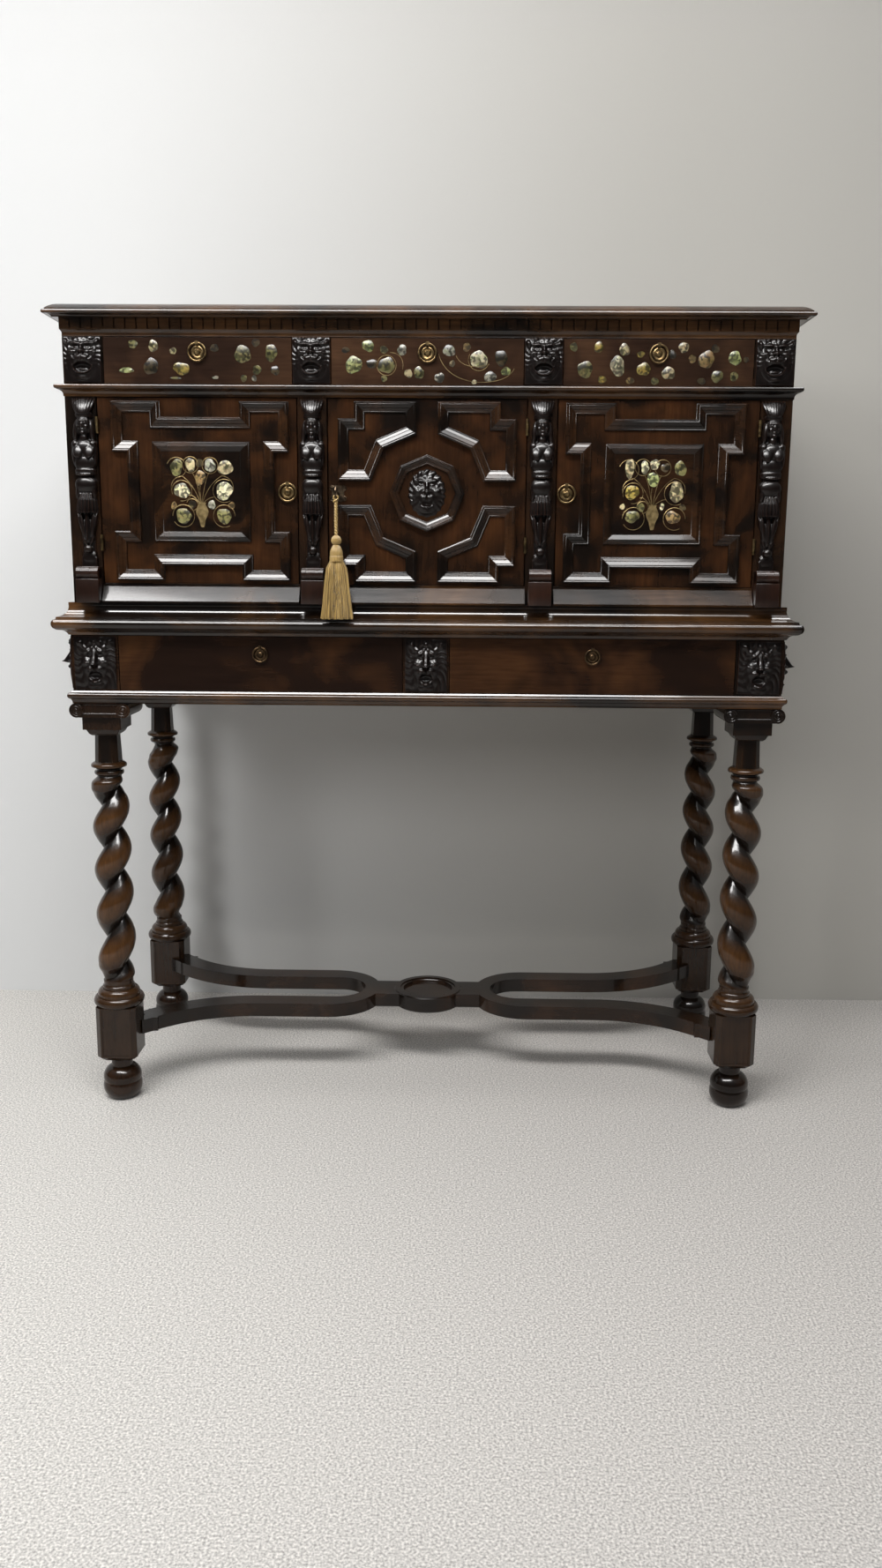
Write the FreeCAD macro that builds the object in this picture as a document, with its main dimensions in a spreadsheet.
import FreeCAD, Part
import Sketcher

import math
import operator
import os
from types import SimpleNamespace

# A carved cabinet on a barley-twist stand. The front faces -Y, the floor is Z = 0, and the origin lies
# under the middle of the piece. Driving sizes are in millimetres and degrees.
SIZES = {
    # whole piece: back plane from the origin, running clearance
    "half_depth": 255,
    "clearance": 0.3,
    # legs, from the floor up
    "leg_inset": 42.5,
    "foot_height": 79,
    "foot_radius": 33,
    "foot_flat_radius": 23,
    "foot_neck_radius": 19,
    "foot_neck_height": 18,
    "block_size": 72,
    "block_cant": 9,
    "block_height": 100,
    "block_bevel": 7,
    "panel_margin": 3.5,
    "panel_depth": 2,
    "base_height": 46,
    "torus_height": 17,
    "torus_radius": 44.5,
    "base_shoulder_radius": 37,
    "base_ring_radius": 28,
    "twist_height": 376,
    "twist_radius_low": 25,
    "twist_radius_high": 22.4,
    "twist_throw": 9.2,
    "twist_lead_low": 91,
    "twist_lead_high": 72,
    "twist_start_angle": 52,
    "rear_left_start_angle": 167,
    "twist_run_in": 20,
    "collar_height": 23,
    "collar_radius": 30,
    "neck_size": 41,
    "neck_cant": 8,
    "neck_taper": 3,
    "neck_height": 48,
    "capital_height": 58,
    "capital_block_size": 66,
    "capital_block_height": 22,
    "echinus_height": 11,
    "capital_width": 104,
    "capital_depth": 84,
    "bolster_radius": 12.5,
    # stretcher
    "stretcher_height": 117,
    "stretcher_thickness": 26,
    "stretcher_width": 42,
    "boss_radius": 66,
    "boss_rise": 2,
    "dish_radius": 54,
    "dish_depth": 7,
    "stretcher_neck_width": 72,
    "yoke_spread": 75,
    "yoke_reach": 190,
    "yoke_crotch_shift": 13,
    "scarf_reach": 245,
    "arm_bend_radius": 268,
    "arm_pad_length": 27,
    "arm_pad_width": 44,
    # stand frieze
    "stand_width": 1196,
    "stand_depth": 470,
    "rail_thickness": 24,
    "stand_rail_height": 22,
    "stand_drawer_height": 94,
    "stand_cap_height": 54,
    "corner_post_width": 79,
    "centre_post_width": 78,
    "board_thickness": 18,
    "runner_width": 26,
    "runner_height": 14,
    "guide_height": 30,
    "stand_cap_projection": 26,
    "stand_foot_projection": 8.5,
    # cabinet
    "cabinet_side_setback": 8,
    "cabinet_setback": 4,
    "side_thickness": 18,
    "back_thickness": 12,
    "floor_thickness": 20,
    "post_thickness": 24,
    "sill_zone_height": 31,
    "sill_projection": 15,
    "sill_lip": 3,
    "door_zone_height": 300,
    "waist_height": 20,
    "waist_projection": 13.5,
    "frieze_height": 73.5,
    "cornice_height": 27,
    "cornice_projection": 3,
    "cove_height": 10,
    "dentil_pitch": 18,
    "dentil_slot": 2.2,
    "dentil_depth": 3.5,
    "dentil_height": 16,
    "crown_projection": 25,
    "top_thickness": 21,
    "outer_post_width": 50.5,
    "inner_post_width": 47.5,
    "centre_bay_width": 327,
    "outer_block_width": 65,
    "inner_block_width": 62,
    # carved figures on the posts
    "plinth_width": 38,
    "plinth_height": 39,
    "plinth_projection": 26,
    "scroll_radius": 10,
    "figure_height": 270,
    "figure_offset": 6,
    # doors
    "door_thickness": 22,
    "door_gap": 1,
    "hinge_gap": 1.6,
    "free_gap": 2,
    "moulding_width": 17.5,
    "moulding_height": 10,
    "ear_margin_side": 18,
    "ear_margin_end": 6,
    "ear_width": 79,
    "ear_notch": 25,
    "frame_shift": 5,
    "plaque_size": 160,
    "plaque_border": 15,
    "plaque_height": 7,
    "plaque_field": 3,
    "corner_panel_side": 16.5,
    "corner_panel_end": 5,
    "corner_panel_notch_width": 26.5,
    "corner_panel_notch_height": 27,
    "channel_width": 36,
    "channel_height": 40,
    "octagon_clear_radius": 101,
    "octagon_radius": 61,
    "octagon_border": 14,
    # hinges
    "knuckle_radius": 2.6,
    "hinge_length": 26,
    "hinge_inset_low": 66,
    "hinge_inset_high": 44,
    "leaf_thickness": 0.6,
    "leaf_width": 16,
    "hinge_pin_radius": 1.2,
    # drawers
    "drawer_gap": 1,
    "drawer_front": 20,
    "drawer_wall": 9,
    "drawer_bottom": 6,
    "drawer_bottom_lift": 4,
    "drawer_length": 400,
    "drawer_side_drop": 10,
    # ring pulls
    "ring_radius": 14,
    "ring_wire": 1.6,
    "stand_ring_radius": 12,
    "plate_radius": 10.5,
    "plate_rise": 5,
    "lug_width": 5,
    "ring_standoff": 4,
    "ring_play": 0.5,
    "pull_plate_thickness": 1.5,
    "side_pull_inset": 16,
    "frieze_pull_drop": 24,
    "stand_pull_drop": 31,
    # lock, key and tassel
    "key_inset": 15.5,
    "key_rise": 149,
    "key_projection": 38,
    "key_shaft_radius": 2.2,
    "key_bow_radius": 8.4,
    "key_bow_wire": 1.6,
    "key_bit_length": 9,
    "key_bit_thickness": 2.4,
    "key_bit_width": 5,
    "lock_width": 40,
    "lock_height": 38,
    "lock_depth": 10,
    "lock_wall": 1.2,
    "lock_key_height": 14,
    "bolt_height": 7,
    "bolt_length": 25,
    "bolt_thickness": 5,
    "bolt_throw": 8,
    "escutcheon_width": 20,
    "escutcheon_height": 26,
    "escutcheon_thickness": 1.2,
    "cord_radius": 2.8,
    "hitch_radius": 3.5,
    "hitch_wire": 1.5,
    "cord_length": 56,
    "tassel_ball_radius": 8.5,
    "tassel_head_height": 42,
    "tassel_bell_radius": 10.5,
    "tassel_skirt_height": 94,
    "tassel_skirt_depth": 22,
    "tassel_skirt_top": 33,
    "tassel_skirt_bottom": 56,
    # carved lion masks: frieze posts, stand posts, centre door
    "mask_relief": 15,
    "frieze_mask_height": 70,
    "frieze_mask_width": 60,
    "stand_mask_height": 88,
    "stand_mask_width": 70,
    "side_mask_width": 70,
    "stand_mask_relief": 20,
    "side_mask_relief": 31,
    "door_mask_width": 54,
    "door_mask_height": 68,
    "mask_ground": 4,
}

doc = FreeCAD.newDocument("cabinet_on_stand")
sheet = doc.addObject("Spreadsheet::Sheet", "Sizes")
for row, (alias, value) in enumerate(SIZES.items(), start=1):
    sheet.set(f"A{row}", alias)
    sheet.set(f"B{row}", str(value))
    sheet.setAlias(f"B{row}", alias)
doc.recompute()

SIGNS = {"+": operator.add, "-": operator.sub, "*": operator.mul, "/": operator.truediv}
Vector = FreeCAD.Vector
UP = Vector(0, 0, 1)


class Size:
    """A length that carries both its value and the sheet formula that gives it."""

    def __init__(self, value, formula):
        self.value = value
        self.formula = formula

    def __float__(self):
        return float(self.value)

    def __neg__(self):
        return joined(0, "-", self)

    def __add__(self, other):
        return joined(self, "+", other)

    def __radd__(self, other):
        return joined(other, "+", self)

    def __sub__(self, other):
        return joined(self, "-", other)

    def __rsub__(self, other):
        return joined(other, "-", self)

    def __mul__(self, other):
        return joined(self, "*", other)

    def __rmul__(self, other):
        return joined(other, "*", self)

    def __truediv__(self, other):
        return joined(self, "/", other)


def sized(number):
    return number if isinstance(number, Size) else Size(number, f"{number}")


def joined(left, sign, right):
    left, right = sized(left), sized(right)
    return Size(SIGNS[sign](left.value, right.value), f"({left.formula} {sign} {right.formula})")


def mm(*numbers):
    """Plain numbers of several sizes."""
    return [float(number) for number in numbers]


size = SimpleNamespace(**{alias: Size(float(sheet.get(alias)), f"Sizes.{alias}") for alias in SIZES})
nodes = []


def node(label, *items):
    """A named piece, alone or as a group of like pieces."""
    if len(items) == 1:
        piece = items[0]
    else:
        piece = doc.addObject("Part::Compound", label)
        piece.Links = list(items)
    piece.Label = label
    nodes.append(piece)
    return piece


def place(item, x=0, y=0, z=0):
    for axis, distance in (("x", x), ("y", y), ("z", z)):
        item.setExpression(f"Placement.Base.{axis}", sized(distance).formula)
    return item


def turn(item, axis, degrees):
    item.Placement.Rotation = FreeCAD.Rotation(axis, degrees)
    return item


def board(name, x, y, z):
    """A square-edged board between two planes on each axis."""
    box = doc.addObject("Part::Box", name)
    for prop, (low, high) in (("Length", x), ("Width", y), ("Height", z)):
        box.setExpression(prop, (sized(high) - low).formula)
    return place(box, x[0], y[0], z[0])


def rod(name, radius, length, axis="z"):
    """A round bar from its own origin along one axis."""
    bar = doc.addObject("Part::Cylinder", name)
    bar.setExpression("Radius", sized(radius).formula)
    bar.setExpression("Height", sized(length).formula)
    if axis == "y":
        turn(bar, Vector(1, 0, 0), -90)
    if axis == "x":
        turn(bar, Vector(0, 1, 0), 90)
    return bar


def hoop(name, radius, wire):
    torus = doc.addObject("Part::Torus", name)
    torus.setExpression("Radius1", sized(radius).formula)
    torus.setExpression("Radius2", sized(wire).formula)
    return torus


def fuse(name, *items):
    union = doc.addObject("Part::MultiFuse", name)
    union.Shapes = list(items)
    union.Refine = True
    return union


def cut(name, base, tool):
    rest = doc.addObject("Part::Cut", name)
    rest.Base = base
    rest.Tool = tool
    return rest


def common(name, base, tool):
    shared = doc.addObject("Part::Common", name)
    shared.Base = base
    shared.Tool = tool
    return shared


def mirrored(name, item):
    """The same piece on the other side of the middle plane."""
    twin = doc.addObject("Part::Mirroring", name)
    twin.Source = item
    twin.Normal = Vector(1, 0, 0)
    twin.Base = Vector(0, 0, 0)
    return twin


def solid(name, shape, x=0, y=0, z=0):
    """A shape built by hand, set down at its place."""
    piece = doc.addObject("Part::Feature", name)
    piece.Shape = shape
    piece.Placement = FreeCAD.Placement(Vector(*mm(x, y, z)), FreeCAD.Rotation())
    return piece


# Outlines are lists of (across, up) or (across, up, bulge). A bulge makes the run to that point an arc
# whose rise is that share of half the run, outwards when the outline goes counter-clockwise.
def arc_middle(start, end, bulge):
    run = end - start
    return (start + end) / 2 + Vector(run.y, -run.x, 0) * (bulge / 2)


def runs(path):
    points = [(sized(point[0]), sized(point[1])) for point in path]
    bulges = [point[2] if len(point) > 2 else 0 for point in path]
    for here in range(len(path)):
        there = (here + 1) % len(path)
        yield points[here], points[there], bulges[there]


def outline(path, lift):
    """The closed wire of an outline, each flat point lifted into space."""
    edges = []
    for here, there, bulge in runs(path):
        start, end = Vector(*mm(*here), 0), Vector(*mm(*there), 0)
        if bulge:
            middle = arc_middle(start, end, bulge)
            edges.append(Part.Arc(lift(start), lift(middle), lift(end)).toShape())
        else:
            edges.append(Part.LineSegment(lift(start), lift(end)).toShape())
    return Part.Wire(edges)


def origin_feature(body, role):
    return next(item for item in body.Origin.OriginFeatures if item.Role == role)


def sketch(body, plane, name, *paths):
    """A sketch of closed outlines on one of the body's own planes, each corner tied to the sheet."""
    drawing = body.newObject("Sketcher::SketchObject", name)
    drawing.AttachmentSupport = [(origin_feature(body, plane), "")]
    drawing.MapMode = "FlatFace"
    ties = []
    for path in paths:
        first = drawing.GeometryCount
        ends = []
        for here, there, bulge in runs(path):
            ends.append((1, 2) if bulge >= 0 else (2, 1))
            ties.extend(draw_run(drawing, here, there, bulge, ends[-1][0]))
        for step, (_, last) in enumerate(ends):
            following = (step + 1) % len(ends)
            ties.append((Sketcher.Constraint(
                "Coincident", first + step, last, first + following, ends[following][0]), None))
    for constraint, formula in ties:
        index = drawing.addConstraint(constraint)
        if formula and "Sizes." in formula:
            drawing.setExpression(f"Constraints[{index}]", formula)
    return drawing


def draw_run(drawing, here, there, bulge, start_end):
    """One line or arc of an outline, with the ties that hold its start and its radius."""
    start, end = Vector(*mm(*here), 0), Vector(*mm(*there), 0)
    ties = []
    if bulge:
        low, high = (start, end) if bulge > 0 else (end, start)
        circle = Part.Arc(low, arc_middle(start, end, bulge), high).toShape().Curve
        angles = [math.atan2(point.y - circle.Center.y, point.x - circle.Center.x) for point in (low, high)]
        circle = Part.Circle(circle.Center, UP, circle.Radius)
        index = drawing.addGeometry(Part.ArcOfCircle(circle, *angles), False)
        across, rise = there[0] - here[0], there[1] - here[1]
        share = (1 + bulge * bulge) / (4 * abs(bulge))
        chord = f"sqrt({across.formula}^2 + {rise.formula}^2)"
        ties.append((Sketcher.Constraint("Radius", index, circle.Radius), f"{chord} * {share}"))
    else:
        index = drawing.addGeometry(Part.LineSegment(start, end), False)
    ties.append((Sketcher.Constraint("DistanceX", index, start_end, start.x), here[0].formula))
    ties.append((Sketcher.Constraint("DistanceY", index, start_end, start.y), here[1].formula))
    return ties


def padded(name, plane, path, length):
    """A body of one outline drawn out square to its plane."""
    body = doc.addObject("PartDesign::Body", name)
    pad = body.newObject("PartDesign::Pad", f"{name}_pad")
    pad.Profile = sketch(body, plane, f"{name}_outline", path)
    pad.setExpression("Length", sized(length).formula)
    return body


def turned(name, path, angle=360):
    """A body turned about its own upright axis."""
    body = doc.addObject("PartDesign::Body", name)
    drawing = sketch(body, "XZ_Plane", f"{name}_profile", path)
    spin = body.newObject("PartDesign::Revolution", f"{name}_turning")
    spin.Profile = drawing
    spin.ReferenceAxis = (drawing, ["V_Axis"])
    spin.Angle = angle
    spin.Reversed = True
    return body


def pocket_up(body, name, lift, *paths):
    """Outlines on the level plane, cut upwards through everything above."""
    drawing = sketch(body, "XY_Plane", f"{name}_outline", *paths)
    if lift is not None:
        drawing.setExpression("AttachmentOffset.Base.z", lift.formula)
    hole = body.newObject("PartDesign::Pocket", name)
    hole.Profile = drawing
    hole.Type = "ThroughAll"
    hole.Reversed = True
    return hole


def rectangle(x, y):
    return [(x[0], y[0]), (x[1], y[0]), (x[1], y[1]), (x[0], y[1])]


# Levels, from the floor up
z_block = size.foot_height
z_base = z_block + size.block_height
z_twist = z_base + size.base_height
z_collar = z_twist + size.twist_height
z_neck = z_collar + size.collar_height
z_capital = z_neck + size.neck_height
z_stand = z_capital + size.capital_height
z_stand_drawer = z_stand + size.stand_rail_height
z_stand_cap = z_stand_drawer + size.stand_drawer_height
z_cabinet = z_stand_cap + size.stand_cap_height
z_door = z_cabinet + size.sill_zone_height
z_waist = z_door + size.door_zone_height
z_frieze = z_waist + size.waist_height
z_cornice = z_frieze + size.frieze_height
z_top = z_cornice + size.cornice_height
z_crown = z_top + size.top_thickness

# Upright planes, from front to back and from the middle out
y_back = size.half_depth
y_stand = y_back - size.stand_depth
y_rail = y_stand + size.rail_thickness
y_cabinet = y_stand + size.cabinet_setback
y_post = y_cabinet + size.post_thickness
y_door = y_post - size.door_thickness
x_stand = size.stand_width / 2
x_cabinet = x_stand - size.cabinet_side_setback
x_leg = x_stand - size.leg_inset
y_leg_front = y_stand + size.leg_inset
y_leg_rear = y_back - size.leg_inset
y_middle = (y_leg_front + y_leg_rear) / 2
x_bay = size.centre_bay_width / 2
x_inner_post = x_bay + size.inner_post_width / 2
x_side_bay = x_bay + size.inner_post_width
x_outer_post = x_cabinet - size.outer_post_width
LEGS = {
    "front_left": (-x_leg, y_leg_front, size.twist_start_angle, False),
    "front_right": (x_leg, y_leg_front, size.twist_start_angle, True),
    "rear_left": (-x_leg, y_leg_rear, size.rear_left_start_angle, False),
    "rear_right": (x_leg, y_leg_rear, size.twist_start_angle, True),
}


# Legs: each is one post with a canted block, a turned base, a single-start twist, a collar and a neck
def canted_square(width, cant, height):
    half = width / 2
    inner = half - cant
    corners = [(half, inner), (inner, half), (-inner, half), (-half, inner)]
    corners += [(-across, -up) for across, up in corners]
    points = [Vector(across, up, height) for across, up in corners]
    return Part.makePolygon(points + points[:1])


def turned_solid(path):
    face = Part.Face(outline(path, lambda point: Vector(point.x, 0, point.y)))
    return face.revolve(Vector(0, 0, 0), UP, 360)


def twist_solid(start_angle):
    """One round strand wound about the post, pinched where its turns meet; its lead shortens upwards."""
    height, run_in, throw = mm(size.twist_height, size.twist_run_in, size.twist_throw)
    rate_low, rate_high = 1 / float(size.twist_lead_low), 1 / float(size.twist_lead_high)
    turns = height * (rate_low + rate_high) / 2
    steps = math.ceil(turns * 8)
    spacing = 30
    around = [math.radians(turn) for turn in range(-180, 181, spacing)]
    rings = []
    for step in range(steps + 1):
        share = step / steps
        rise = share * height
        turned_so_far = rate_low * rise + (rate_high - rate_low) * rise * share / 2
        angle = math.radians(float(start_angle) + 360 * turned_so_far)
        ease = min(1, rise / run_in, (height - rise) / run_in)
        swell = throw * ease * (2 - ease)
        radius = float(size.twist_radius_low) * (1 - share) + float(size.twist_radius_high) * share
        ring = []
        for part in around:
            reach = radius - swell + 2 * swell * math.cos(part / 2)
            ring.append(Vector(reach * math.cos(angle + part), reach * math.sin(angle + part), rise))
        curve = Part.BSplineCurve()
        curve.interpolate(Points=ring, Parameters=around)
        rings.append(Part.Wire(curve.toShape()))
    return Part.makeLoft(rings, True, False)


def leg_solid(start_angle):
    width, cant, bevel, height = mm(size.block_size, size.block_cant, size.block_bevel, size.block_height)
    levels = [(width - 2 * bevel, 0), (width, bevel), (width, height)]
    block = Part.makeLoft([canted_square(across, cant, level) for across, level in levels], True, True)
    margin, depth = mm(size.panel_margin, size.panel_depth)
    inset = margin + cant
    panel = Part.makeBox(width - 2 * inset, 2 * depth, height - bevel - 2 * margin)
    panel.translate(Vector(inset - width / 2, -width / 2 - depth, bevel + margin))
    base = turned_solid([
        (0, 0),
        (size.torus_radius - 4.5, 0),
        (size.torus_radius - 4.5, size.torus_height, 0.53),
        (size.base_shoulder_radius, size.torus_height),
        (size.base_shoulder_radius, size.torus_height + 3),
        (size.base_ring_radius + 2, size.base_height - 15, 0.35),
        (size.base_ring_radius, size.base_height - 15),
        (size.base_ring_radius, size.base_height - 10),
        (size.twist_radius_low + 1, size.base_height - 4, -0.3),
        (size.twist_radius_low + 1, size.base_height),
        (0, size.base_height),
    ])
    collar = turned_solid([
        (0, 0),
        (size.twist_radius_high + 1, 0),
        (size.twist_radius_high + 1, 8, 0.5),
        (size.neck_size / 2, 8),
        (size.neck_size / 2, 10),
        (size.collar_radius, 14),
        (size.collar_radius - 1, size.collar_height - 3, 0.4),
        (size.neck_size / 2 + 4, size.collar_height),
        (0, size.collar_height),
    ])
    side, neck_cant, taper = mm(size.neck_size, size.neck_cant, size.neck_taper)
    neck_top = canted_square(side - taper, neck_cant, float(size.neck_height))
    ends = [canted_square(side, neck_cant, 0), neck_top]
    neck = Part.makeLoft(ends, True, True)
    twist = twist_solid(start_angle)
    post = block.cut(panel)
    for shape, level in ((base, z_base), (twist, z_twist), (collar, z_collar), (neck, z_neck)):
        shape.translate(Vector(0, 0, float(level - z_block)))
        post = post.fuse(shape)
    return post.removeSplitter()


leg_shapes = {}
for name, (x, y, start_angle, opposed) in LEGS.items():
    if float(start_angle) not in leg_shapes:
        leg_shapes[float(start_angle)] = leg_solid(start_angle)
    shape = leg_shapes[float(start_angle)]
    shape = shape.mirror(Vector(0, 0, 0), Vector(1, 0, 0)) if opposed else shape.copy()
    node(f"leg_{name}", solid(f"leg_{name}", shape, x, y, z_block))


# Capitals: a stepped echinus, a square block, and a scroll band with two bolsters from front to back
def capital(name, x, y):
    half = size.capital_block_size / 2
    top_step = (size.capital_block_size - 8, size.echinus_height)
    steps = [(size.neck_size + 2, 0), (size.neck_size + 9, 3), top_step]
    squares = [canted_square(float(width), 1, float(level)) for width, level in steps]
    echinus = solid(f"{name}_echinus", Part.makeLoft(squares, True, True), x, y, z_capital)
    z_scroll = z_capital + size.echinus_height + size.capital_block_height
    block = board(f"{name}_block", (x - half, x + half), (y - half, y + half),
                  (z_capital + size.echinus_height, z_scroll))
    reach = size.capital_width / 2 - size.bolster_radius
    depth = size.capital_depth / 2
    band = board(f"{name}_band", (x - reach, x + reach), (y - depth + 2, y + depth - 2), (z_scroll, z_stand))
    bolsters = []
    for side in (-1, 1):
        bolster = rod(f"{name}_bolster", size.bolster_radius, size.capital_depth, "y")
        bolsters.append(place(bolster, x + side * reach, y - depth, z_stand - size.bolster_radius))
    return fuse(name, echinus, block, band, *bolsters)


node("leg_capitals", *[capital(f"capital_{name}", x, y) for name, (x, y, *_) in LEGS.items()])

# Bun feet: a flattened ball under a short neck
foot_path = [
    (0, 0),
    (size.foot_flat_radius, 0),
    (size.foot_radius, size.foot_radius, 0.35),
    (size.foot_neck_radius, size.foot_height - size.foot_neck_height, 0.4),
    (size.foot_neck_radius, size.foot_height - 5),
    (size.foot_neck_radius + 4, size.foot_height),
    (0, size.foot_height),
]
node("bun_feet", *[place(turned(f"foot_{name}", foot_path), x, y) for name, (x, y, *_) in LEGS.items()])

# Stretcher: a dished boss between two yokes, and four arms scarfed on that curve out to the leg blocks
yoke_outer = size.yoke_spread + size.stretcher_width / 2
yoke_inner = size.yoke_spread - size.stretcher_width / 2
neck_half = size.stretcher_neck_width / 2
neck_drop = math.sqrt(float(yoke_outer) ** 2 - float(neck_half) ** 2)
yoke_start = size.yoke_reach - neck_drop
crotch = size.yoke_reach - size.yoke_crotch_shift
sweep = math.pi / 2 - math.asin(float(neck_half) / float(yoke_outer))
yoke_bulge = math.tan(sweep / 4)
quarter = math.tan(math.pi / 8)
yoke_path = [
    (0, -neck_half),
    (yoke_start, -neck_half),
    (size.yoke_reach, -yoke_outer, yoke_bulge),
    (size.scarf_reach, -yoke_outer),
    (size.scarf_reach, -yoke_inner),
    (crotch, -yoke_inner),
    (crotch - yoke_inner, 0, -quarter),
    (crotch, yoke_inner, -quarter),
    (size.scarf_reach, yoke_inner),
    (size.scarf_reach, yoke_outer),
    (size.yoke_reach, yoke_outer),
    (yoke_start, neck_half, yoke_bulge),
    (0, neck_half),
]
z_stretcher = size.stretcher_height
yokes = []
for side, degrees in (("right", 0), ("left", 180)):
    yoke = padded(f"stretcher_yoke_{side}", "XY_Plane", yoke_path, size.stretcher_thickness)
    yokes.append(place(turn(yoke, UP, degrees), 0, y_middle, z_stretcher))
boss_height = size.stretcher_thickness + 2 * size.boss_rise
boss_path = [
    (0, 0),
    (size.boss_radius - 2, 0),
    (size.boss_radius, 2),
    (size.boss_radius, boss_height - 2),
    (size.boss_radius - 2, boss_height),
    (size.dish_radius, boss_height),
    (size.dish_radius - 6, boss_height - size.dish_depth, -0.4),
    (0, boss_height - size.dish_depth),
]
boss = place(turned("stretcher_boss", boss_path), 0, y_middle, z_stretcher - size.boss_rise)
hollow = place(rod("boss_hollow", size.dish_radius - 6, size.dish_depth + size.boss_rise),
               0, y_middle, z_stretcher - size.boss_rise + boss_height - size.dish_depth)
node("stretcher_centre", cut("stretcher_centre", fuse("stretcher_plan", boss, *yokes), hollow))


def stretcher_arm(name, x, y, across, along):
    """A flat arm: straight from the scarf, then bent out to the inner corner of the leg's block."""
    half, bend, thick = mm(size.stretcher_width / 2, size.arm_bend_radius, size.stretcher_thickness)
    spread, scarf, middle, level = mm(size.yoke_spread, size.scarf_reach, y_middle, z_stretcher)
    leg_out, leg_along = abs(float(x)), abs(float(y) - middle)
    block_half = float(size.block_size) / 2
    pad_length, pad_width = mm(size.arm_pad_length, size.arm_pad_width)
    rise = leg_along - block_half - 7.5 - spread
    run = math.sqrt(2 * bend * rise - rise * rise)
    start = leg_out - block_half - 14 - run
    angle = math.acos(1 - rise / bend)
    tip = Vector(start + run, spread + rise, 0)
    heading = Vector(math.cos(angle), math.sin(angle), 0)
    inside = Vector(-heading.y, heading.x, 0) * half
    end = tip + heading * block_half
    bent = [Vector(start + (bend + offset) * math.sin(angle / 2),
                   spread + bend - (bend + offset) * math.cos(angle / 2), 0) for offset in (half, -half)]
    edges = [
        Part.LineSegment(Vector(scarf, spread - half, 0), Vector(start, spread - half, 0)),
        Part.Arc(Vector(start, spread - half, 0), bent[0], tip - inside),
        Part.LineSegment(tip - inside, end - inside),
        Part.LineSegment(end - inside, end + inside),
        Part.LineSegment(end + inside, tip + inside),
        Part.Arc(tip + inside, bent[1], Vector(start, spread + half, 0)),
        Part.LineSegment(Vector(start, spread + half, 0), Vector(scarf, spread + half, 0)),
        Part.LineSegment(Vector(scarf, spread + half, 0), Vector(scarf, spread - half, 0)),
    ]
    arm = Part.Face(Part.Wire([edge.toShape() for edge in edges])).extrude(UP * thick)
    seat = leg_along - block_half + pad_width / 2 - 5
    pad = Part.makeBox(pad_length, pad_width, thick,
                       Vector(leg_out - block_half - pad_length, seat - pad_width, 0))
    arm = arm.fuse(pad)
    block = Part.Face(canted_square(2 * block_half, float(size.block_cant), 0)).extrude(UP * thick)
    block.translate(Vector(leg_out, leg_along, 0))
    arm = arm.cut(block).removeSplitter()
    beyond = Part.makeBox(bend, bend, thick, Vector(leg_out - block_half, leg_along - block_half, 0))
    arm = arm.cut(beyond)
    if across < 0:
        arm = arm.mirror(Vector(0, 0, 0), Vector(1, 0, 0))
    if along < 0:
        arm = arm.mirror(Vector(0, 0, 0), Vector(0, 1, 0))
    return solid(name, arm, 0, middle, level)


node("stretcher_arms", *[
    stretcher_arm(f"arm_{name}", x, y, float(x), float(y - y_middle)) for name, (x, y, *_) in LEGS.items()])


# Mouldings: the front length is mitred to a return on each side, which stops at the back plane
def mitred(name, profile, half_width, y_front, core_front, core_side, height):
    """Front and right lengths of one moulding profile, and the right length's twin on the left."""
    low, high = height
    reach = max((point[0] for point in profile), key=float)

    def section(core):
        bottom = [(-core, low)] if float(core) else []
        top = [(-core, high)] if float(core) else []
        return bottom + profile + top

    length = 2 * half_width + 2 * reach
    front = padded(f"{name}_front", "XZ_Plane", section(core_front), length)
    far = -length
    pocket_up(front, f"{name}_front_mitres", None,
              [(-core_front - 1, -reach), (0, -reach), (reach, 0), (reach, 1), (-core_front - 1, 1)],
              [(-core_front - 1, far - 1), (reach, far - 1), (reach, far), (0, far + reach),
               (-core_front - 1, far + reach)])
    turn(front, UP, -90)
    place(front, half_width + reach, y_front)
    run = y_back - y_front
    side = padded(f"{name}_right", "XZ_Plane", section(core_side), run + reach)
    end = -run - reach
    stop = core_side if float(core_side) else sized(0)
    pocket_up(side, f"{name}_right_mitre", None,
              [(-stop - 1, end - 1), (reach, end - 1), (reach, end), (0, -run), (0, stop - run),
               (-stop - 1, stop - run)] if float(stop) else
              [(-1, end - 1), (reach, end - 1), (reach, end), (0, -run), (-1, -run)])
    place(side, half_width, y_back)
    return front, side, mirrored(f"{name}_left", side)


none = sized(0)

# Stand frieze: rails, front posts, and mouldings under and over the drawers
side_rail = board("stand_rail_right", (x_stand - size.rail_thickness, x_stand),
                  (y_rail, y_back - size.rail_thickness), (z_stand, z_stand_cap))
back_rail = board("stand_rail_back", (-x_stand, x_stand), (y_back - size.rail_thickness, y_back),
                  (z_stand, z_stand_cap))
back_fillet = board("stand_back_fillet", (size.rail_thickness - x_stand, x_stand - size.rail_thickness),
                    (y_back - size.rail_thickness, y_back), (z_stand_cap, z_cabinet - size.board_thickness))
lower_rail = board("stand_rail_front", (-x_stand, x_stand), (y_stand, y_rail), (z_stand, z_stand_drawer))
node("stand_rails", side_rail, mirrored("stand_rail_left", side_rail), back_rail, back_fillet, lower_rail)

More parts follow.
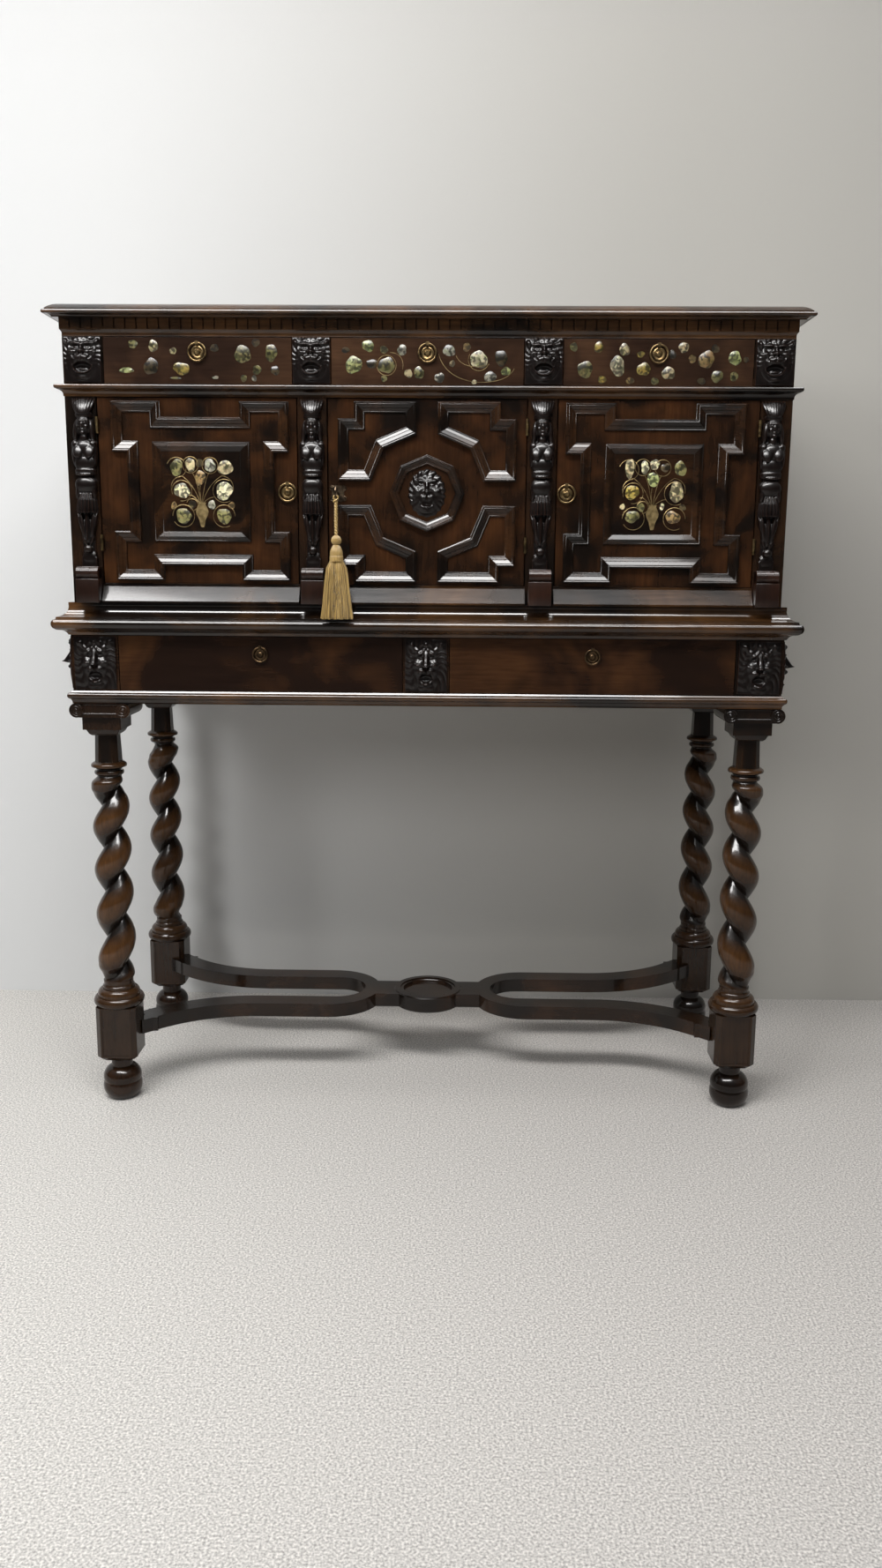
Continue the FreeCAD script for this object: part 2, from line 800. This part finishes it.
x_corner = x_stand - size.corner_post_width
x_centre = size.centre_post_width / 2
stand_post_level = (z_stand_drawer, z_stand_cap)
corner_post = board("stand_post_right", (x_corner, x_stand), (y_stand, y_rail), stand_post_level)
centre_post = board("stand_post_centre", (-x_centre, x_centre), (y_stand, y_rail), stand_post_level)
node("stand_front_posts", corner_post, centre_post, mirrored("stand_post_left", corner_post))

reach = size.stand_foot_projection
node("stand_bottom_moulding", *mitred("stand_bottom", [
    (0, z_stand),
    (reach - 6.5, z_stand),
    (reach - 3.5, z_stand + 8, -0.3),
    (reach - 2, z_stand + 9),
    (reach - 2, z_stand + 18, 0.6),
    (reach - 5, z_stand + 19),
    (reach - 6.5, z_stand_drawer - 0.5),
    (0, z_stand_drawer - 0.5),
], x_stand, y_stand, none, none, (z_stand, z_stand_drawer)))

reach = size.stand_cap_projection
node("stand_top_moulding", *mitred("stand_top", [
    (0, z_stand_cap),
    (3, z_stand_cap),
    (reach - 12, z_stand_cap + 8, -0.35),
    (reach - 8, z_stand_cap + 9),
    (reach - 5, z_stand_cap + 11),
    (reach - 5, z_stand_cap + 26, 0.67),
    (reach - 8, z_stand_cap + 27),
    (reach - 8, z_stand_cap + 30),
    (reach - 12, z_stand_cap + 31),
    (1, z_cabinet - 4, -0.4),
    (1, z_cabinet),
    (0, z_cabinet),
], x_stand, y_stand, size.rail_thickness, size.rail_thickness, (z_stand_cap, z_cabinet)))

node("stand_top_board", board("stand_top_board",
                              (size.rail_thickness - x_stand, x_stand - size.rail_thickness),
                              (y_rail, y_back), (z_cabinet - size.board_thickness, z_cabinet)))

runner_depth = (y_rail, y_back - size.rail_thickness)
runner_level = (z_stand_drawer - size.runner_height, z_stand_drawer)
guide_level = (z_stand_drawer, z_stand_drawer + size.guide_height)
inner_runner = board("runner_inner_right", (x_centre + 16 - size.runner_width, x_centre + 16),
                     runner_depth, runner_level)
outer_runner = board("runner_outer_right", (x_corner - 16, x_corner - 16 + size.runner_width),
                     runner_depth, runner_level)
outer_guide = board("guide_right", (x_corner + size.clearance, x_corner - 16 + size.runner_width),
                    runner_depth, guide_level)
centre_guide = board("guide_centre", (size.clearance - x_centre, x_centre - size.clearance),
                     runner_depth, guide_level)
node("stand_drawer_runners", inner_runner, outer_runner, outer_guide, centre_guide,
     mirrored("runner_inner_left", inner_runner), mirrored("runner_outer_left", outer_runner),
     mirrored("guide_left", outer_guide))

# Cabinet case: sides, back, floor and drawer shelf, dividers, top
x_lining = x_cabinet - size.side_thickness
y_lining = y_back - size.back_thickness
case_side = board("case_side_right", (x_lining, x_cabinet), (y_post, y_back), (z_cabinet, z_top))
node("cabinet_sides", case_side, mirrored("case_side_left", case_side))
node("cabinet_back", board("cabinet_back", (-x_lining, x_lining), (y_lining, y_back), (z_cabinet, z_top)))
z_floor = z_cabinet + size.floor_thickness
z_shelf = z_frieze - size.board_thickness
node("cabinet_shelves",
     board("cabinet_floor", (-x_lining, x_lining), (y_post, y_lining), (z_cabinet, z_floor)),
     board("drawer_shelf", (-x_lining, x_lining), (y_post, y_lining), (z_shelf, z_frieze)))
divider_x = (x_inner_post - size.board_thickness / 2, x_inner_post + size.board_thickness / 2)
dividers = [board("divider_low_right", divider_x, (y_post, y_lining), (z_floor, z_shelf)),
            board("divider_high_right", divider_x, (y_post, y_lining), (z_frieze, z_top))]
node("cabinet_dividers", *dividers, mirrored("divider_low_left", dividers[0]),
     mirrored("divider_high_left", dividers[1]))
node("cabinet_top", board("cabinet_top", (-x_cabinet, x_cabinet), (y_cabinet, y_back), (z_top, z_crown)))

# Cornice: a crown round the top board over a dentil band with its small cove
reach = size.crown_projection
crown = mitred("crown", [
    (0, z_top),
    (reach - 13, z_top),
    (reach - 13, z_top + 1.5),
    (reach - 2.5, z_top + 4, -0.3),
    (reach - 2.5, z_top + 10, 0.8),
    (reach - 5, z_top + 11),
    (reach - 5, z_top + 12.5),
    (5, z_crown, 0.12),
    (0, z_crown),
], x_cabinet, y_cabinet, none, none, (z_top, z_crown))

reach = size.cornice_projection
band = mitred("dentil", [
    (0, z_cornice),
    (reach, z_cornice + size.cove_height, -0.3),
    (reach, z_top),
    (0, z_top),
], x_cabinet, y_cabinet, size.post_thickness, none, (z_cornice, z_top))


def dentils(body, name, run, first):
    """Narrow slots that cut the band into dentils."""
    half = size.dentil_slot / 2
    slot = rectangle((size.cornice_projection - size.dentil_depth, size.cornice_projection + 1),
                     (first - half, first + half))
    hole = pocket_up(body, f"{name}_slot", z_top - size.dentil_height, slot)
    doc.recompute()
    count = int(float(run) // float(size.dentil_pitch))
    row = body.newObject("PartDesign::LinearPattern", f"{name}_row")
    row.Originals = [hole]
    row.Direction = (origin_feature(body, "Y_Axis"), [""])
    row.Reversed = True
    row.Occurrences = count
    row.setExpression("Length", f"{size.dentil_pitch.formula} * {count - 1}")
    body.Tip = row


front_slots = int(2 * float(x_cabinet) // float(size.dentil_pitch)) - 1
margin = (2 * x_cabinet - size.dentil_pitch * front_slots) / 2
dentils(band[0], "dentil_front", 2 * x_cabinet - 2 * margin + size.dentil_pitch * 1.5, -reach - margin)
dentils(band[1], "dentil_side", y_back - y_cabinet - size.dentil_pitch, -size.dentil_pitch)
node("cornice", *crown, *band)

# Waist moulding between doors and frieze drawers
reach = size.waist_projection
node("waist_moulding", *mitred("waist", [
    (0, z_waist),
    (1.5, z_waist),
    (1.5, z_waist + 2.5),
    (reach - 3.5, z_frieze - 9.5, -0.4),
    (reach - 3.5, z_frieze - 8.5),
    (reach - 1.5, z_frieze - 8.5),
    (reach - 1.5, z_frieze - 2, 0.55),
    (0, z_frieze - 0.5),
], x_cabinet, y_cabinet, size.post_thickness, none, (z_waist, z_frieze)))


# Sill: a bevelled rail under each door
def sill(name, low, high):
    toe = y_cabinet - size.sill_projection
    path = [(y_post, z_cabinet), (y_post, z_door), (y_cabinet, z_door), (y_cabinet, z_door - 4),
            (toe, z_cabinet + size.sill_lip), (toe, z_cabinet)]
    return place(padded(name, "YZ_Plane", path, high - low), low)


node("base_moulding", sill("sill_centre", -x_bay, x_bay), sill("sill_right", x_side_bay, x_outer_post),
     sill("sill_left", -x_outer_post, -x_side_bay))

# Posts behind the figures and behind the frieze masks; the lock's bolt shoots into the left inner one
post_depth = (y_cabinet, y_post)
door_level = (z_cabinet, z_waist)
frieze_level = (z_frieze, z_cornice)
x_key = -x_bay + size.free_gap + size.key_inset
z_key = z_door + size.key_rise
y_lock = y_post - size.lock_depth
bolt_z = (z_key + size.key_bit_length + 1, z_key + size.key_bit_length + 1 + size.bolt_height)
bolt_y = (y_post - 2 - size.bolt_thickness, y_post - 2)
slack = 2 * size.clearance
inner_post = board("post_inner_right", (x_bay, x_side_bay), post_depth, door_level)
outer_post = board("post_outer_right", (x_outer_post, x_cabinet), post_depth, door_level)
mortise = board("bolt_mortise", (-x_bay - size.bolt_throw - 2, 1 - x_bay),
                (bolt_y[0] - slack, bolt_y[1] + slack), (bolt_z[0] - slack, bolt_z[1] + slack))
lock_post_blank = board("post_inner_left_blank", (-x_side_bay, -x_bay), post_depth, door_level)
lock_post = cut("post_inner_left", lock_post_blank, mortise)
outer_block = board("block_outer_right", (x_cabinet - size.outer_block_width, x_cabinet), post_depth,
                    frieze_level)
half_block = size.inner_block_width / 2
inner_block = board("block_inner_right", (x_inner_post - half_block, x_inner_post + half_block), post_depth,
                    frieze_level)
node("pilasters", inner_post, outer_post, lock_post, mirrored("post_outer_left", outer_post),
     outer_block, inner_block, mirrored("block_outer_left", outer_block),
     mirrored("block_inner_left", inner_block))

# Carved figures: a plumed half-figure on a tapering leaf, over a scroll foot and a plinth
figure_path = [
    (0, 0),
    (11, 0),
    (12, 30),
    (15, 84),
    (17, 90),
    (17, 126),
    (16, 130),
    (17, 142, 0.2),
    (14.5, 156),
    (18, 170),
    (19.5, 186),
    (19, 202, 0.15),
    (8, 210),
    (8, 213),
    (13.5, 220, 0.2),
    (13.5, 236, 0.15),
    (10.5, 246),
    (10.5, 250),
    (19.5, size.figure_height),
    (0, size.figure_height),
]


def figure(name, x):
    half = size.plinth_width / 2
    z_scroll = z_cabinet + size.plinth_height
    toe = y_cabinet - size.plinth_projection
    plinth = board(f"{name}_plinth", (x - half, x + half), (toe, y_cabinet), (z_cabinet, z_scroll))
    foot = board(f"{name}_foot", (x - half + 1, x + half - 1), (toe + size.scroll_radius, y_cabinet),
                 (z_scroll, z_scroll + 2 * size.scroll_radius))
    scroll = place(rod(f"{name}_scroll", size.scroll_radius, size.plinth_width - 1, "x"),
                   x - half + 0.5, toe + size.scroll_radius, z_scroll + size.scroll_radius)
    carving = place(turned(f"{name}_carving", figure_path, 180), x, y_cabinet,
                    z_scroll + 2 * size.scroll_radius)
    return fuse(name, plinth, foot, scroll, carving)


x_outer_figure = (x_outer_post + x_cabinet) / 2 - size.figure_offset
node("caryatids", *[figure(f"caryatid_{number}", x) for number, x in enumerate(
    (-x_outer_figure, -x_inner_post, x_inner_post, x_outer_figure), start=1)])


# Lion masks: a domed head with brow and muzzle on a flat ground
def egg(name, across, deep, tall, y=0, z=0):
    ball = doc.addObject("Part::Ellipsoid", name)
    ball.setExpression("Radius1", sized(tall).formula)
    ball.setExpression("Radius2", sized(across).formula)
    ball.setExpression("Radius3", sized(deep).formula)
    return place(ball, 0, y, z)


def mask(name, width, height, relief, x, y, z, degrees=0):
    ground = board(f"{name}_ground", (width * -0.5, width * 0.5), (-size.mask_ground, 0),
                   (height * -0.5, height * 0.5))
    head = egg(f"{name}_head", width * 0.42, relief * 0.72, height * 0.46)
    muzzle = egg(f"{name}_muzzle", width * 0.24, relief, height * 0.24, 0, height * -0.16)
    front = board(f"{name}_front", (width * -1, width), (relief * -2, 0), (height * -1, height))
    carving = common(f"{name}_carving", fuse(f"{name}_forms", head, muzzle), front)
    whole = fuse(name, ground, carving)
    return place(turn(whole, UP, degrees), x, y, z)


z_frieze_mask = (z_frieze + z_cornice) / 2
z_stand_mask = (z_stand_drawer + z_stand_cap) / 2
x_block = x_cabinet - size.outer_block_width / 2
x_corner_mask = (x_corner + x_stand) / 2
masks = []
for number, x in enumerate((-x_block, -x_inner_post, x_inner_post, x_block), start=1):
    masks.append(mask(f"frieze_mask_{number}", size.frieze_mask_width, size.frieze_mask_height,
                      size.mask_relief, x, y_cabinet, z_frieze_mask))
for number, x in enumerate((-x_corner_mask, none, x_corner_mask), start=1):
    masks.append(mask(f"stand_mask_{number}", size.stand_mask_width, size.stand_mask_height,
                      size.stand_mask_relief, x, y_stand, z_stand_mask))
for side, degrees in ((1, 90), (-1, -90)):
    masks.append(mask(f"side_mask_{degrees}", size.side_mask_width, size.stand_mask_height,
                      size.side_mask_relief, side * x_stand, y_leg_front, z_stand_mask, degrees))
node("lion_masks", *masks)


# Hinges: two butt hinges on each door, their knuckles just proud of the posts
def hinge(name, x, z, side):
    """One fixed and one moving half; side is +1 where the post lies to the right of the door."""
    half, third = size.hinge_length / 2, size.hinge_length / 6
    y_pin = y_cabinet - size.knuckle_radius - 0.2
    leaf_front = y_pin + size.knuckle_radius + size.clearance
    leaf_depth = (leaf_front, leaf_front + size.leaf_width)
    near = size.hinge_gap / 2 - size.leaf_thickness
    far = size.hinge_gap / 2

    def band(sign):
        return (x + near, x + far) if sign > 0 else (x - far, x - near)

    def knuckle(label, low, high):
        barrel = rod(label, size.knuckle_radius, high - low)
        return place(barrel, x, y_pin, z + low)

    spans = ((-half, -third), (third, half))
    fixed = [board(f"{name}_fixed_leaf", band(side), leaf_depth, (z - half, z + half))]
    for number, (low, high) in enumerate(spans):
        fixed.append(knuckle(f"{name}_fixed_knuckle_{number}", low, high))
        tab_level = (z + low, z + high)
        fixed.append(board(f"{name}_fixed_tab_{number}", band(side), (y_pin, leaf_front), tab_level))
    fixed.append(place(rod(f"{name}_pin", size.hinge_pin_radius, size.hinge_length), x, y_pin, z - half))
    low, high = size.clearance - third, third - size.clearance
    moving = [board(f"{name}_moving_leaf", band(-side), leaf_depth, (z - half, z + half)),
              knuckle(f"{name}_moving_knuckle", low, high),
              board(f"{name}_moving_tab", band(-side), (y_pin, leaf_front), (z + low, z + high))]
    bore = place(rod(f"{name}_bore", size.hinge_pin_radius + size.clearance / 3, size.hinge_length),
                 x, y_pin, z - half)
    return fuse(f"{name}_fixed", *fixed), cut(f"{name}_moving", fuse(f"{name}_moving_blank", *moving), bore)


door_level = (z_door + size.door_gap, z_waist - size.door_gap)
z_middle = (door_level[0] + door_level[1]) / 2
hinge_levels = (door_level[0] + size.hinge_inset_low, door_level[1] - size.hinge_inset_high)
HINGE_SIDES = {"left": (-x_outer_post, -1), "right": (x_outer_post, 1), "centre": (x_bay, 1)}
fixed_halves = []
for door, (x_edge, side) in HINGE_SIDES.items():
    moving_halves = []
    for number, z in enumerate(hinge_levels, start=1):
        still, swinging = hinge(f"{door}_hinge_{number}", x_edge - side * size.hinge_gap / 2, z, side)
        fixed_halves.append(still)
        moving_halves.append(swinging)
    node(f"{door}_door_hinge_leaves", *moving_halves)
node("hinge_fixed_leaves", *fixed_halves)


# Applied mouldings: a mitred strip round a straight-sided outline, high outside and stepped down inwards
def offset_corners(corners, distance):
    """The outline moved inwards, each corner kept mitred; corners run counter-clockwise."""
    moved = []
    for index, corner in enumerate(corners):
        before = corner - corners[index - 1]
        after = corners[(index + 1) % len(corners)] - corner
        before.normalize()
        after.normalize()
        in_before, in_after = Vector(-before.y, before.x, 0), Vector(-after.y, after.x, 0)
        moved.append(corner + (in_before + in_after) * (distance / (1 + in_before.dot(in_after))))
    return moved


def strip(corners, section):
    """A closed strip of moulding round the corners; its section is (inwards, proud) points."""
    flat = [Vector(*mm(*corner), 0) for corner in corners]
    rings = []
    for inwards, proud in section:
        ring = [Vector(point.x, -float(proud), point.y) for point in offset_corners(flat, float(inwards))]
        rings.append(ring)
    faces = []
    for row in range(len(rings)):
        ring, following = rings[row], rings[(row + 1) % len(rings)]
        for index in range(len(ring)):
            after = (index + 1) % len(ring)
            loop = [ring[index], ring[after], following[after], following[index], ring[index]]
            faces.append(Part.Face(Part.makePolygon(loop)))
    body = Part.Solid(Part.Shell(faces))
    body.fix(1e-6, 1e-6, 1e-6)
    return body if body.Volume > 0 else body.reversed()


def stepped_section(width, height):
    return [(0, 0), (0, height * 0.9), (width * 0.1, height), (width * 0.55, height * 0.62),
            (width * 0.6, height * 0.5), (width * 0.95, height * 0.25), (width, 0)]


def eared(half_x, half_z):
    """A frame whose four corners stand out as square ears."""
    ear, notch = size.ear_width, size.ear_notch
    quarter_path = [(half_x - notch, half_z - ear), (half_x, half_z - ear), (half_x, half_z),
                    (half_x - ear, half_z), (half_x - ear, half_z - notch)]
    corners = []
    for across, up in ((1, 1), (-1, 1), (-1, -1), (1, -1)):
        part = [(across * x, up * z) for x, z in quarter_path]
        corners += part if across * up > 0 else part[::-1]
    return corners


section = stepped_section(size.moulding_width, size.moulding_height)
half_height = (door_level[1] - door_level[0]) / 2
side_door_x = (x_side_bay + size.free_gap, x_outer_post - size.hinge_gap)
x_side_door = (side_door_x[0] + side_door_x[1]) / 2
half_side_door = (side_door_x[1] - side_door_x[0]) / 2
for door, side in (("left", -1), ("right", 1)):
    path = rectangle((side * x_side_door - half_side_door, side * x_side_door + half_side_door), door_level)
    node(f"{door}_door", place(padded(f"{door}_door", "XZ_Plane", path, size.door_thickness), 0, y_post))
    x = side * (x_side_door - size.frame_shift)
    frame_corners = eared(half_side_door - size.ear_margin_side, half_height - size.ear_margin_end)
    frame = solid(f"{door}_door_frame", strip(frame_corners, section), x, y_door, z_middle)
    half = size.plaque_size / 2
    square = rectangle((-half, half), (-half, half))
    border_section = [
        (0, 0),
        (0, size.plaque_height * 0.3),
        (size.plaque_border * 0.5, size.plaque_height),
        (size.plaque_border, size.plaque_field + 1),
        (size.plaque_border, 0),
    ]
    border = solid(f"{door}_plaque_border", strip(square, border_section), x, y_door, z_middle)
    inner = half - size.plaque_border
    plaque = board(f"{door}_plaque", (x - inner, x + inner), (y_door - size.plaque_field, y_door),
                   (z_middle - inner, z_middle + inner))
    node(f"{door}_door_mouldings", frame, border, plaque)

# Centre door: a keyhole and a lock recess, four corner panels round an octagon, and a lion mask
centre_door_x = (size.free_gap - x_bay, x_bay - size.hinge_gap)
x_centre_door = (centre_door_x[0] + centre_door_x[1]) / 2
lock_x = (centre_door_x[0], centre_door_x[0] + size.lock_width)
lock_z = (z_key - size.lock_key_height, z_key - size.lock_key_height + size.lock_height)


def keyhole(name, y):
    """A round hole with a slot below it, wide enough for the key's shaft and bit."""
    barrel = rod(f"{name}_round", size.key_shaft_radius + size.clearance, y[1] - y[0], "y")
    half = size.key_bit_thickness / 2 + size.clearance
    slot = board(f"{name}_slot", (x_key - half, x_key + half), y,
                 (z_key - size.key_bit_length - size.clearance, z_key))
    return fuse(name, place(barrel, x_key, y[0], z_key), slot)


path = rectangle(centre_door_x, door_level)
blank = place(padded("centre_door_blank", "XZ_Plane", path, size.door_thickness), 0, y_post)
recess = board("lock_recess", (lock_x[0] - 1, lock_x[1]), (y_lock, y_post + 1), lock_z)
door_keyhole = keyhole("door_keyhole", (y_door - 1, y_lock + 1))
node("centre_door", cut("centre_door", blank, fuse("lock_cuts", recess, door_keyhole)))

half_x = (centre_door_x[1] - centre_door_x[0]) / 2 - size.corner_panel_side
half_z = half_height - size.corner_panel_end
slope = math.sqrt(2) - 1
channel_x, channel_z = size.channel_width / 2, size.channel_height / 2
clear = size.octagon_clear_radius
corner_quarter = [
    (channel_x, clear - channel_x * slope),
    (clear * math.sqrt(0.5), clear * math.sqrt(0.5)),
    (clear - channel_z * slope, channel_z),
    (half_x, channel_z),
    (half_x, half_z - size.corner_panel_notch_height),
    (half_x - size.corner_panel_notch_width, half_z - size.corner_panel_notch_height),
    (half_x - size.corner_panel_notch_width, half_z),
    (channel_x, half_z),
]
panels = []
for across, up in ((1, 1), (-1, 1), (-1, -1), (1, -1)):
    corners = [(across * x, up * z) for x, z in corner_quarter]
    corners = corners if across * up > 0 else corners[::-1]
    panels.append(solid("corner_panel", strip(corners, section), x_centre_door, y_door, z_middle))
octagon = [(size.octagon_radius * math.sin(math.radians(45 * step)),
            size.octagon_radius * math.cos(math.radians(45 * step))) for step in range(8, 0, -1)]
panels.append(solid("octagon", strip(octagon, stepped_section(size.octagon_border, size.moulding_height)),
                    x_centre_door, y_door, z_middle))
node("centre_door_mouldings", *panels)
node("centre_door_mask", mask("centre_door_mask", size.door_mask_width, size.door_mask_height,
                              size.mask_relief, x_centre_door, y_door, z_middle))


# Lock: a cut lock let into the door's back, its escutcheon, the bolt and the key
wall = size.lock_wall
case = board("lock_body", lock_x, (y_lock, y_post), lock_z)
cavity = board("lock_cavity", (lock_x[0] + wall, lock_x[1] - wall), (y_lock + wall, y_post - wall),
               (lock_z[0] + wall, lock_z[1] - wall))
bolt_hole = board("bolt_hole", (lock_x[0] - 1, lock_x[0] + 2 * wall),
                  (bolt_y[0] - size.clearance, bolt_y[1] + size.clearance),
                  (bolt_z[0] - size.clearance, bolt_z[1] + size.clearance))
case_keyhole = keyhole("case_keyhole", (y_lock - 1, y_lock + 2 * wall))
lock_case = cut("lock_case", case, fuse("lock_hollow", cavity, bolt_hole, case_keyhole))
half = size.escutcheon_width / 2
plate = board("escutcheon_blank", (x_key - half, x_key + half), (y_door - size.escutcheon_thickness, y_door),
              (z_key - size.escutcheon_height / 2, z_key + size.escutcheon_height / 2))
plate_keyhole = keyhole("escutcheon_keyhole", (y_door - size.escutcheon_thickness - 1, y_door + 1))
node("lock", lock_case, cut("escutcheon", plate, plate_keyhole))
bolt_end = centre_door_x[0] + 0.5
node("lock_bolt", board("lock_bolt", (bolt_end, bolt_end + size.bolt_length), bolt_y, bolt_z))

y_bow = y_door - size.key_projection
bow = turn(hoop("key_bow", size.key_bow_radius, size.key_bow_wire), Vector(0, 1, 0), 90)
place(bow, x_key, y_bow, z_key)
y_shaft = y_bow + size.key_bow_radius
y_tip = y_post - wall - 1
shaft = place(rod("key_shaft", size.key_shaft_radius, y_tip - y_shaft, "y"), x_key, y_shaft, z_key)
half = size.key_bit_thickness / 2
bit = board("key_bit", (x_key - half, x_key + half), (y_tip - size.key_bit_width, y_tip),
            (z_key - size.key_bit_length, z_key))
node("key", fuse("key", bow, shaft, bit))

# Tassel: a doubled cord hitched round the bow's lowest point, a turned head and a spreading skirt
z_hitch = z_key - size.key_bow_radius
z_cord = z_hitch - size.hitch_radius
hitch = turn(hoop("cord_hitch", size.hitch_radius, size.hitch_wire), Vector(1, 0, 0), 90)
place(hitch, x_key, y_bow, z_hitch)
z_head = z_cord - size.cord_length
cord = place(rod("cord_run", size.cord_radius, size.cord_length), x_key, y_bow, z_head)
node("tassel_cord", fuse("tassel_cord", hitch, cord))
drop = size.tassel_head_height
ball = size.tassel_ball_radius
bell = size.tassel_bell_radius
head_path = [
    (0, -drop),
    (bell + 1, -drop),
    (bell + 1, 8 - drop, 0.4),
    (bell - 1, 8 - drop),
    (bell, 20 - drop, 0.15),
    (5, -2 * ball, 0.3),
    (5, 1 - 2 * ball),
    (3.5, 0, 0.9),
    (0, 0),
]
head = place(turned("tassel_head", head_path), x_key, y_bow, z_head)


def skirt_level(width, depth, height):
    """A long oval drawn with four arcs."""
    marks = []
    for step in range(9):
        angle = step * math.pi / 4
        marks.append(Vector(width / 2 * math.cos(angle), depth / 2 * math.sin(angle), height))
    return Part.Wire([Part.Arc(*marks[start:start + 3]).toShape() for start in (0, 2, 4, 6)])


depth, top, bottom, height = mm(size.tassel_skirt_depth, size.tassel_skirt_top, size.tassel_skirt_bottom,
                                size.tassel_skirt_height)
levels = [
    (top * 0.75, depth * 0.9, height),
    (top, depth, height - 6),
    (top * 0.6 + bottom * 0.4, depth, height * 0.5),
    (bottom, depth, 0),
]
skirt = solid("tassel_skirt", Part.makeLoft([skirt_level(*level) for level in levels], True, True),
              x_key, y_bow, z_head - drop - size.tassel_skirt_height)
node("tassel", head, skirt)


# Ring pulls: a small domed plate with a lug, and a ring that hangs through the lug
def pull(prefix, x, y_face, z, radius):
    """Plate and ring about one centre; the ring swings on the line through its own top."""
    plate_path = [
        (0, 0),
        (size.plate_radius, 0),
        (size.plate_radius, size.pull_plate_thickness),
        (size.plate_radius - 2, size.pull_plate_thickness + 0.8),
        (size.plate_radius * 0.55, size.pull_plate_thickness + 0.2),
        (size.plate_radius * 0.45, size.pull_plate_thickness + 1.2),
        (size.plate_radius * 0.3, size.plate_rise, 0.3),
        (0, size.plate_rise),
    ]
    rosette = place(turn(turned(f"{prefix}_rosette", plate_path), Vector(1, 0, 0), 90), x, y_face, z)
    half = size.lug_width / 2
    y_ring = y_face - size.ring_standoff
    z_pivot = z + radius
    grip = size.ring_wire + size.ring_play + 0.9
    lug = board(f"{prefix}_lug", (x - half, x + half), (y_ring - grip, y_face),
                (z_pivot - grip, z_pivot + grip))
    tail = board(f"{prefix}_tail", (x - half, x + half), (y_face - size.pull_plate_thickness, y_face),
                 (z + size.plate_radius - 2, z_pivot))
    eye = place(rod(f"{prefix}_eye", size.ring_wire + size.ring_play, size.lug_width + 2, "x"),
                x - half - 1, y_ring, z_pivot)
    node(f"{prefix}_pull_plate", cut(f"{prefix}_plate", fuse(f"{prefix}_blank", rosette, lug, tail), eye))
    ring = turn(hoop(f"{prefix}_hoop", radius, size.ring_wire), Vector(1, 0, 0), 90)
    node(f"{prefix}_ring", place(ring, x, y_ring, z))


for door, side in (("left", -1), ("right", 1)):
    pull(f"{door}_door", side * (side_door_x[0] + size.side_pull_inset), y_door, z_middle, size.ring_radius)


# Drawers: a front, two sides, a back and a bottom
def drawer(name, x, y_face, z):
    wall, bottom = size.drawer_wall, size.drawer_bottom
    y_box = y_face + size.drawer_front
    y_end = y_face + size.drawer_length
    top = z[1] - size.drawer_side_drop
    floor = z[0] + size.drawer_bottom_lift
    inner = (x[0] + wall, x[1] - wall)
    node(name, board(f"{name}_front", x, (y_face, y_box), z),
         board(f"{name}_side_a", (x[0], inner[0]), (y_box, y_end), (z[0], top)),
         board(f"{name}_side_b", (inner[1], x[1]), (y_box, y_end), (z[0], top)),
         board(f"{name}_back", inner, (y_end - wall, y_end), (z[0], top)),
         board(f"{name}_bottom", inner, (y_box, y_end - wall), (floor, floor + bottom)))


gap = size.drawer_gap
frieze_z = (z_frieze + size.clearance, z_cornice - gap)
inner_edge, outer_edge = x_inner_post + half_block + gap, x_cabinet - size.outer_block_width - gap
centre_edge = x_inner_post - half_block - gap
FRIEZE_DRAWERS = {"left": (-outer_edge, -inner_edge), "centre": (-centre_edge, centre_edge),
                  "right": (inner_edge, outer_edge)}
for side, span in FRIEZE_DRAWERS.items():
    drawer(f"frieze_drawer_{side}", span, y_cabinet + gap, frieze_z)
    pull(f"frieze_drawer_{side}", (span[0] + span[1]) / 2, y_cabinet + gap, z_cornice - size.frieze_pull_drop,
         size.ring_radius)
stand_z = (z_stand_drawer + size.clearance, z_stand_cap - gap)
for side, sign in (("left", -1), ("right", 1)):
    ends = sorted((sign * (x_centre + gap), sign * (x_corner - gap)), key=float)
    drawer(f"stand_drawer_{side}", ends, y_stand + gap, stand_z)
    pull(f"stand_drawer_{side}", (ends[0] + ends[1]) / 2, y_stand + gap, z_stand_cap - size.stand_pull_drop,
         size.stand_ring_radius)

# Build everything, check each object and each piece, and write one file for each named piece
doc.recompute()
for item in doc.Objects:
    if "Invalid" in item.State or "Error" in item.State:
        raise RuntimeError(f"{item.Name} did not build: {item.State}")
for piece in nodes:
    if piece.Shape.isNull() or not piece.Shape.isValid():
        raise RuntimeError(f"{piece.Label} has no valid shape")
os.makedirs("parts", exist_ok=True)
for piece in nodes:
    piece.Shape.exportStep(f"parts/{piece.Label}.step")
print(f"{len(nodes)} pieces written")
